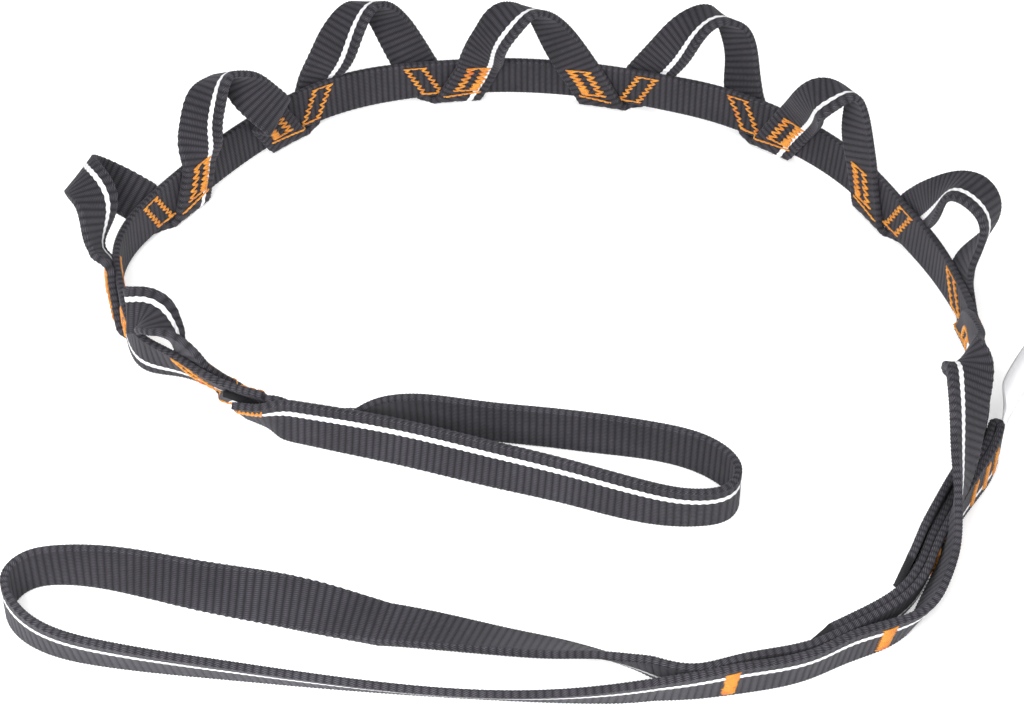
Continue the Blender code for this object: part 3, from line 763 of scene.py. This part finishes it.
def straight(points, stitch, rng):
    """Path of straight stitches along a polyline, in and out of the tape."""
    p = np.array(points, float)
    s = np.r_[0, np.cumsum(np.hypot(*np.diff(p, axis=0).T))]
    n = max(1, int(round(s[-1] / stitch)))
    path = []
    for i in range(n):
        lo, hi = s[-1] * i / n, s[-1] * (i + 1) / n
        for t, h in ((0.0, 0.0), (0.14, 0.8), (0.5, 1.0), (0.86, 0.8)):
            x = lo + (hi - lo) * t
            path.append((np.interp(x, s, p[:, 0]), np.interp(x, s, p[:, 1]), h))
    path.append((p[-1, 0], p[-1, 1], 0.0))
    return path


JOINT = {j["name"]: j for j in frame["joints"]}


def node_names(prefix):
    return [n for n in frame["nodes"] if n.startswith(prefix)]


# backbone with the inner layer of the tail
LEN = spine.length
backbone = tape("backbone_tape", lambda a, b: on_backbone(a, b, np.zeros_like(a)), LEN, good=1)
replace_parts(backbone, "backbone_webbing")
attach(backbone, "chain")

# pocket loops with their halves of the sewn folds
LOOP_TAPES = {}
LEG_SHORT = (LEG_LENGTH - TAPE_W / 2 * math.cos(LEG_ANGLE)) / math.sin(LEG_ANGLE) - 3.5
for k in range(0, 8):
    rows = LOOPS[k]
    lt = LoopTape(k, rows)
    first = LEG_SHORT if k == 0 else 0.0
    obj = tape("pocket_tape_%d" % k, lt.surface, lt.total + first, start=-first, good=-1)
    LOOP_TAPES[k] = lt
    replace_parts(obj, "pocket_loop_%d" % k, *(["sewn_fold_%d" % k]))
    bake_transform(obj)

# last pocket loop, which runs on through the bend as the outer layer of the tail
outer_knots = [tail_outer.knots[i] for i in range(4, -1, -1)]
outer_rows = []
for s0 in outer_knots:
    p = tail_outer.frame(s0)[0]
    _, _, u, _, _ = tail_outer.axes(s0)
    outer_rows.append(np.r_[p, u[0]])
last = LoopTape(8, LOOP_LAST, tail=outer_rows)
LOOP_TAPES[8] = last
obj = tape("pocket_tape_8", last.surface, last.total, good=-1)
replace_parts(obj, "pocket_loop_8", "sewn_fold_8", "tail_outer_layer")
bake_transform(obj)

# the two middle layers of the tail are one piece of tape, folded at the tab
inner = layer_beside(tail_middle, 1.0, 4.0, 125.0, 26)[::-1]
outer = layer_beside(tail_middle, 0.0, 4.0, tail_middle.length - 2.0, 32)
e_in, e_out = np.array(inner[-1]), np.array(outer[0])
_mid = (e_in + e_out) / 2
_dir = tail_middle.at(4.0)[1][0][:2]
_half = (e_out - e_in)[:2] / 2
turn = []
for i in range(1, 6):
    a = math.pi * i / 6
    c = _mid[:2] - _half * math.cos(a) - _dir * np.linalg.norm(_half) * math.sin(a)
    turn.append((float(c[0]), float(c[1]), float(_mid[2])))
tab_route = Route(inner + turn + outer + [TAIL_MIDDLE[-1]])


def tail_middle_side(p):
    d2 = ((p[:, None, :] - tail_middle.q[None, ::6, :2]) ** 2).sum(2)
    s = tail_middle.s[::6][d2.argmin(1)]
    return tail_middle.at(s)[2]


def tab_surface(along, across):
    along = along + 0.8 * (across + TAPE_W / 2) * (1 - smooth(along, 0, 16))
    s, back = np.unique(along, return_inverse=True)
    p, d, nrm, th = tab_route.at(s)
    lean_to = tail_middle_side(p)
    u = np.cos(th)[:, None] * lean_to + np.sin(th)[:, None] * np.array([0, 0, 1.0])
    height = TAPE_W / 2 * np.sin(th) + TAPE_T / 2 * np.cos(th)
    return (np.c_[p, height])[back] + across[:, None] * u[back]


obj = tape("tab_tape", tab_surface, tab_route.length, good=1)
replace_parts(obj, "folded_tab")
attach(obj, "chain")

# end loop B, from the fork to the fork
route_b = Route(TAIL_MIDDLE[-5:] + END_LOOP_B + TAIL_OUTER[:4])
b_start, b_end = route_b.knots[4], route_b.knots[4 + len(END_LOOP_B) + 1]
obj = tape("end_tape_b", lambda a, b: route_b.frame(a, b), b_end - b_start, start=b_start, good=1)
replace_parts(obj, "end_loop_b")
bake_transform(obj)

# end loop A, from the first joint round to the start of the backbone
route_a = Route(END_LOOP_A + [(x, y, lean - 360) for x, y, lean in BACKBONE[1:4]])
a_end = route_a.knots[len(END_LOOP_A) - 1]
a_turn = route_a.knots[len(END_LOOP_A) - 3]


def end_a_surface(along, across):
    gather = 0.45 * smooth(along, a_turn - 15, a_turn - 2) * (1 - smooth(along, a_turn + 2, a_end - 1))
    lift = -gather * TAPE_W / 2 * np.abs(np.sin(route_a.axes(along)[4]))
    return route_a.frame(along, across * (1 - gather), 0.0, lift)


obj = tape("end_tape_a", end_a_surface, a_end, good=1)
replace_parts(obj, "end_loop_a")
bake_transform(obj)

# ---- stitching ----------------------------------------------------------------------
# bar width, half width of the box, middle height, half height
BOX_ON_LEG = (3.15, 4.2, 1.9, 5.5)
BOX_ON_BACKBONE = (2.1, 3.9, 0.1, 6.2)
JOIN_LINE = (-4.6, -6.2)     # heights of the line that joins the two boxes


def box_rule(k, sign, face_side):
    """Points over the stitched box of one leg of joint k; face_side -1 looks into the arch."""
    leg = leg_side(k if sign > 0 else k - 1)
    over_leg = leg == face_side
    base = (OFFSET if over_leg else 0.0) + TAPE_T / 2

    own = LOOP_TAPES.get(k if sign > 0 else k - 1)

    def on_tape(a, b, h):
        length = b + LEG_LENGTH - TAPE_W / 2
        if sign > 0:
            along = (length - a * math.cos(LEG_ANGLE)) / math.sin(LEG_ANGLE)
        else:
            along = own.total - (length + a * math.cos(LEG_ANGLE)) / math.sin(LEG_ANGLE)
        p = own.surface(along, a)
        n = unit(np.cross(own.surface(along, a + 0.25) - own.surface(along, a - 0.25),
                          own.surface(along + 0.25, a) - own.surface(along - 0.25, a)))
        outward = face_side * spine.axes(joint_at(k) + 0 * a)[3]
        n = n * np.sign((n * outward).sum(1))[:, None]
        return p + n * (TAPE_T / 2 + h)[:, None]

    def rule(a, b, h):
        if over_leg and own is not None:
            return on_tape(a, b, h)
        length = b + LEG_LENGTH - TAPE_W / 2
        x = (FOLD_RUN + LEG_OUT[k] if sign > 0 else FOLD_RUN - LEG_IN[k]) + length / math.tan(LEG_ANGLE)
        s = joint_at(k) + sign * x - a / math.sin(LEG_ANGLE)
        return on_backbone(s, b, face_side * (base + h))
    return rule, over_leg


def join_rule(k, face_side):
    """Points beside joint k: a along the backbone from the joint, b its height."""
    toward = 1 if leg_side(k) == face_side else -1

    def rule(a, b, h):
        over = smooth(toward * a, -2.6, -1.4)
        base = TAPE_T / 2 + OFFSET * over
        return on_backbone(joint_at(k) + a, b, face_side * (base + h))
    return rule


for k in range(JOINTS):
    thread = Thread("joint_stitching_%d" % k)
    rng = np.random.RandomState(100 + k)
    for face_side in (-1, 1):
        for sign in (-1, 1):
            rule, over_leg = box_rule(k, sign, face_side)
            bar, half_w, mid, half_h = BOX_ON_LEG if over_leg else BOX_ON_BACKBONE
            if k == 8 and over_leg:
                bar, half_w = 1.3, 2.6              # drawn in narrow where the leg turns into the bend
            pitch = 2.3 if over_leg else 2.1
            covered = k == 0 and sign < 0 and over_leg      # end loop A lies over this one
            for side in () if covered else (-1, 1):
                a0 = side * (half_w - bar / 2)
                dense = over_leg and side == -sign and k != 8
                p = stitch_points(rule, zigzag(a0, bar, mid - half_h, mid + half_h, 1.9 if dense else pitch, rng), 0.30, -0.25)
                thread.run(p, 0.48 if dense else 0.42 if over_leg else 0.36)
                if dense:
                    p = zigzag(a0, bar * 0.92, mid - half_h, mid - half_h + 3.0, 1.2, rng)
                    thread.run(stitch_points(rule, p, 0.42, -0.2), 0.44)
            for b0 in (mid - half_h,) if covered else (mid - half_h, mid + half_h):
                path = straight([(-half_w, b0), (half_w, b0)], 2.4, rng)
                thread.run(stitch_points(rule, path, 0.22, -0.25), 0.36 if over_leg else 0.30)
        # the line along the lower edge that joins the two boxes of this face
        join = join_rule(k, face_side)
        reach = FOLD_RUN + (LEG_LENGTH - TAPE_W / 2 + JOIN_LINE[1]) / math.tan(LEG_ANGLE)
        toward = 1 if leg_side(k) == face_side else -1
        far = toward * (reach + 7.2 + (LEG_OUT[k] if toward > 0 else -LEG_IN[k]))
        near = -toward * (reach + 1.2)
        path = straight([(near, JOIN_LINE[1]), (-toward * 0.5, JOIN_LINE[1]), (far, JOIN_LINE[0])], 2.3, rng)
        thread.run(stitch_points(join, path, 0.28, -0.3), 0.38)
    if k == 0:
        # the bar of this box that goes through the start of end loop A
        path = zigzag(-4.2, 3.0, 0.9, 9.6, 1.5, rng)
        thread.run(stitch_points(lambda a, b, h: route_a.frame(b, a, TAPE_T / 2 + h), path, 0.30, -0.25), 0.42)
    obj = thread.make()
    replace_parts(obj, "box_stitch_%d_in" % k, "box_stitch_%d_out" % k)

TAB_TACKS = (13.0, 20.5, 29.5, 46.0, 55.5, 63.0)
FRONT_TACKS = (110.8, 63.6)   # where they stand, by x
TACK_SIZE = (2.6, 11.5)


def tack(name, route, s0, width, height, face, rng, pitch=0.95, radius=0.34, slant=0.0):
    thread = Thread(name)

    def rule(a, b, h):
        return route.frame(s0 + a + slant * b, b, face * (TAPE_T / 2 + h))
    p = stitch_points(rule, zigzag(0.0, width, -height / 2, height / 2, pitch, rng), 0.22, -0.25)
    thread.run(p, radius)
    p = stitch_points(rule, zigzag(0.1, width * 0.8, -height / 2 + 0.4, height / 2, pitch * 2.4, rng), 0.40, -0.2)
    thread.run(p, radius * 0.9)
    return thread


def front_rule(x):
    """Points over the good face of the tail's outer layer about the place with this x."""
    s = np.linspace(last.total - 110.0, last.total, 400)
    q = last.surface(s, np.zeros(400))
    s0 = float(s[np.abs(q[:, 0] - x).argmin()])

    def rule(a, b, h):
        p = last.surface(s0 + a, b)
        ds = last.surface(s0 + a + 0.25, b) - last.surface(s0 + a - 0.25, b)
        db = last.surface(s0 + a, b + 0.25) - last.surface(s0 + a, b - 0.25)
        n = -unit(np.cross(db, ds))
        return p + n * (TAPE_T / 2 + h)[:, None]
    return rule


for i, s0 in enumerate(TAB_TACKS):
    rng = np.random.RandomState(300 + i)
    t = tack("tab_tack_thread_%d" % (i + 1), tail_middle, s0, 3.2, 10.4, 1, rng)
    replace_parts(t.make(), "tab_bar_tack_%d" % (i + 1))
for i, s0 in enumerate(FRONT_TACKS):
    rng = np.random.RandomState(400 + i)
    t = Thread("front_tack_thread_%d" % (i + 1))
    path = zigzag(0.0, 4.7, -6.0, 6.0, 1.05, rng)
    t.run(stitch_points(front_rule(s0), path, 0.26, -0.25), 0.34)
    path = zigzag(0.1, 4.0, -5.8, 5.8, 1.7, rng)
    t.run(stitch_points(front_rule(s0), path, 0.42, -0.2), 0.30)
    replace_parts(t.make(), "front_bar_tack_%d" % (i + 1))

# ---- label --------------------------------------------------------------------------
LABEL_SIZE = (34.0, 14.0, 0.5)


def label_surface(along, across):
    """The label stands beside the tab's fold and leans away from the camera side."""
    start = np.array([158.4, -44.4])
    a = math.radians(62)
    t = along / LABEL_SIZE[0]
    up = (across + LABEL_SIZE[1] / 2) / LABEL_SIZE[1]
    bend = 0.8 * np.sin(math.pi * t) + 0.6 * up ** 2 * smooth(t, 0.0, 0.5)
    lean = smooth(t, 0.0, 0.35)
    x = start[0] + along * math.cos(a) - bend * math.sin(a) - 2.0 * up * lean
    y = start[1] + along * math.sin(a) + bend * math.cos(a) + 4.6 * up * lean
    return np.c_[x, y, 1.2 + LABEL_SIZE[1] * up * (1 - 0.09 * lean)]


rows, cols = 60, 15
s = np.linspace(0, LABEL_SIZE[0], rows)
b = np.linspace(-LABEL_SIZE[1] / 2, LABEL_SIZE[1] / 2, cols)
ss, bb = np.repeat(s, cols), np.tile(b, rows)
mid = label_surface(ss, bb)
n = unit(np.cross(label_surface(ss, bb + 0.2) - label_surface(ss, bb - 0.2),
                  label_surface(ss + 0.2, bb) - label_surface(ss - 0.2, bb)))
hem = 0.12 * smooth(np.abs(bb), 5.6, 6.0)
th = (LABEL_SIZE[2] / 2 + hem)[:, None]
front, back = mid + n * th, mid - n * th
verts = (np.concatenate([front, back]) + SHIFT) * MM
idx = np.arange(rows * cols).reshape(rows, cols)
off = rows * cols
faces, uvs = [], []
for i in range(rows - 1):
    for j in range(cols - 1):
        q = (idx[i, j], idx[i, j + 1], idx[i + 1, j + 1], idx[i + 1, j])
        uv = [(s[a] * MM, b[c] * 0.01) for a, c in ((i, j), (i, j + 1), (i + 1, j + 1), (i + 1, j))]
        faces.append(tuple(int(x) for x in q))
        uvs.extend(uv)
        faces.append(tuple(int(x) + off for x in q[::-1]))
        uvs.extend(uv[::-1])
for i in range(rows - 1):
    for j, flip in ((0, True), (cols - 1, False)):
        q = (idx[i, j], idx[i + 1, j], idx[i + 1, j] + off, idx[i, j] + off)
        q = q if flip is False else q[::-1]
        faces.append(tuple(int(x) for x in q[::-1]))
        uvs.extend([(s[i] * MM, b[j] * 0.01)] * 4)
for j in range(cols - 1):
    for i, flip in ((0, False), (rows - 1, True)):
        q = (idx[i, j], idx[i, j + 1], idx[i, j + 1] + off, idx[i, j] + off)
        q = q if flip is False else q[::-1]
        faces.append(tuple(int(x) for x in q[::-1]))
        uvs.extend([(s[i] * MM, b[j] * 0.01)] * 4)
label = make_object("label_cloth", verts, faces, uvs, (LABEL,), [0] * len(faces))
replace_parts(label, "label")
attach(label, "label_flap")

# ---- floor, light, camera -----------------------------------------------------------
floor_mesh = bpy.data.meshes.new("floor")
floor_mesh.from_pydata([(-6, -6, 0), (6, -6, 0), (6, 6, 0), (-6, 6, 0)], [], [(0, 1, 2, 3)])
floor = bpy.data.objects.new("floor", floor_mesh)
bpy.context.scene.collection.objects.link(floor)
g = Graph("floor_paper")
obj_co = g.add("ShaderNodeTexCoord")
paper = g.noise(600.0, 2.0, 0.5, obj_co.outputs["Object"])
g.links.new(g.mix(paper, (0.93, 0.93, 0.93, 1), (0.96, 0.96, 0.96, 1)), g.bsdf.inputs["Base Color"])
g.bsdf.inputs["Roughness"].default_value = 0.9
g.bsdf.inputs["Emission Color"].default_value = (1.0, 1.0, 1.0, 1.0)
g.bsdf.inputs["Emission Strength"].default_value = 0.30     # a lit table top: next to no shadow
floor_mesh.materials.append(g.mat)


def area_light(name, place, aim, size, power, colour=(1, 1, 1)):
    data = bpy.data.lights.new(name, "AREA")
    data.shape = "RECTANGLE"
    data.size, data.size_y = size
    data.energy = power
    data.color = colour
    obj = bpy.data.objects.new(name, data)
    bpy.context.scene.collection.objects.link(obj)
    d = np.array(aim, float) - np.array(place, float)
    d /= np.linalg.norm(d)
    obj.location = place
    from mathutils import Vector
    obj.rotation_euler = Vector(d).to_track_quat("-Z", "Y").to_euler()
    return obj


area_light("key", (-0.2, -0.5, 0.42), (0.0, -0.02, 0), (0.35, 0.3), 5.4)
area_light("fill", (0.6, -0.5, 0.5), (0, 0, 0), (0.8, 0.8), 2.6)
area_light("top", (0.05, 0.05, 1.35), (0, 0, 0), (1.4, 1.4), 10.0)

world_data = bpy.data.worlds.new("studio")
world_data.use_nodes = True
world_data.node_tree.nodes["Background"].inputs[0].default_value = (1, 1, 1, 1)
world_data.node_tree.nodes["Background"].inputs[1].default_value = 0.42
bpy.context.scene.world = world_data
bpy.context.scene.view_settings.view_transform = "Standard"

cam_data = bpy.data.cameras.new("camera")
cam_data.sensor_width = 36.0
cam_data.lens = 2375.0 / 1024.0 * 36.0
cam_data.clip_start = 0.01
cam = bpy.data.objects.new("camera", cam_data)
bpy.context.scene.collection.objects.link(cam)
eye = (np.array([0.0, -590.2, 550.4]) + SHIFT) * MM
aim = SHIFT * MM
from mathutils import Vector as _V
cam.location = eye
cam.rotation_euler = _V(aim - eye).to_track_quat("-Z", "Y").to_euler()
bpy.context.scene.camera = cam

bpy.context.view_layer.update()
